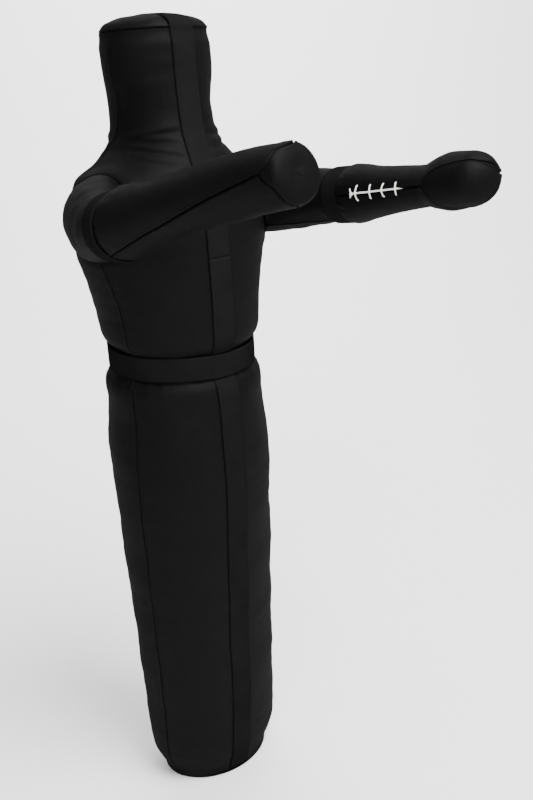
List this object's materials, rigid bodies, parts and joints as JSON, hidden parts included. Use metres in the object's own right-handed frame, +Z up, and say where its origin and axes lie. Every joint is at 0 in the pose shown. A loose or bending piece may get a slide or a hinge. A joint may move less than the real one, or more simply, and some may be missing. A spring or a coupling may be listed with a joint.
{
  "type": "grappling dummy",
  "caption": "Standing leather grappling dummy with a blocky head, a tapered legless body, outstretched arms and webbing straps, for throws and ground work.",
  "frame": {"origin": "centre of the flat base, on the surface that the dummy stands on", "axes": "+Z up; the dummy faces -Y and its right side is at -X"},
  "size_m": [0.6014, 0.8892, 1.7513],
  "materials": {
    "leather": "satin pebble grain",
    "webbing": "matt fine weave",
    "filling": "packed textile scraps",
    "lace": "woven cord"
  },
  "bodies": {
    "leg": {"base_panel": "leather", "leg_filling": "filling", "leg_front_right_panel": "leather", "leg_front_left_panel": "leather", "leg_back_right_panel": "leather", "leg_back_left_panel": "leather", "leg_front_strap": "webbing", "leg_back_strap": "webbing", "waist_filling": "filling", "waist_gather": "leather", "waist_belt": "webbing"},
    "torso": {"torso_filling": "filling", "torso_front_right_panel": "leather", "torso_front_left_panel": "leather", "torso_back_right_panel": "leather", "torso_back_left_panel": "leather", "right_underarm_gusset": "leather", "left_underarm_gusset": "leather", "chest_strap": "webbing", "back_strap": "webbing", "neck_filling": "filling", "neck_wrap": "leather"},
    "head": {"head_filling": "filling", "head_front_right_panel": "leather", "head_front_left_panel": "leather", "head_back_right_panel": "leather", "head_back_left_panel": "leather", "head_cap_panel": "leather", "head_strap": "webbing"},
    "right_upper_arm": {"right_upper_arm_filling": "filling", "right_sleeve_panel": "leather", "right_arm_band": "webbing"},
    "right_forearm": {"right_forearm_filling": "filling", "right_forearm_outer_panel": "leather", "right_forearm_under_panel": "leather", "right_forearm_palm_panel": "leather", "right_lacing": "lace"},
    "left_upper_arm": {"left_upper_arm_filling": "filling", "left_sleeve_panel": "leather", "left_arm_band": "webbing"},
    "left_forearm": {"left_forearm_filling": "filling", "left_forearm_outer_panel": "leather", "left_forearm_under_panel": "leather", "left_forearm_palm_panel": "leather", "left_lacing": "lace"}
  },
  "joints": [
    {"name": "waist_bend", "type": "hinge", "parent": "leg", "child": "torso", "pos_m": [0, 0, 1.078], "axis": [1, 0, 0], "range_deg": [-15, 25], "stiffness_Nm_per_rad": 600, "springref_deg": -1.15, "deforming": ["waist_filling", "waist_gather", "waist_belt"]},
    {"name": "neck_nod", "type": "hinge", "parent": "torso", "child": "head", "pos_m": [0, 0, 1.54], "axis": [1, 0, 0], "range_deg": [-20, 20], "stiffness_Nm_per_rad": 80, "deforming": ["neck_filling", "neck_wrap"]},
    {"name": "right_shoulder_raise", "type": "hinge", "parent": "torso", "child": "right_upper_arm", "pos_m": [-0.186, -0.054, 1.389], "axis": [-1, 0, 0], "range_deg": [-35, 30], "stiffness_Nm_per_rad": 70, "springref_deg": 4.01, "deforming": ["right_sleeve_panel"]},
    {"name": "right_elbow_bend", "type": "hinge", "parent": "right_upper_arm", "child": "right_forearm", "pos_m": [-0.243, -0.255, 1.4], "axis": [0, 0, 1], "range_deg": [-23, 18], "stiffness_Nm_per_rad": 30, "deforming": ["right_arm_band", "right_forearm_outer_panel", "right_forearm_under_panel", "right_forearm_palm_panel"]},
    {"name": "left_shoulder_raise", "type": "hinge", "parent": "torso", "child": "left_upper_arm", "pos_m": [0.186, -0.054, 1.389], "axis": [-1, 0, 0], "range_deg": [-35, 30], "stiffness_Nm_per_rad": 70, "springref_deg": 4.01, "deforming": ["left_sleeve_panel"]},
    {"name": "left_elbow_bend", "type": "hinge", "parent": "left_upper_arm", "child": "left_forearm", "pos_m": [0.24, -0.289, 1.4005], "axis": [0, 0, -1], "range_deg": [-23, 18], "stiffness_Nm_per_rad": 30, "deforming": ["left_arm_band", "left_forearm_outer_panel", "left_forearm_under_panel", "left_forearm_palm_panel"]}
  ]
}
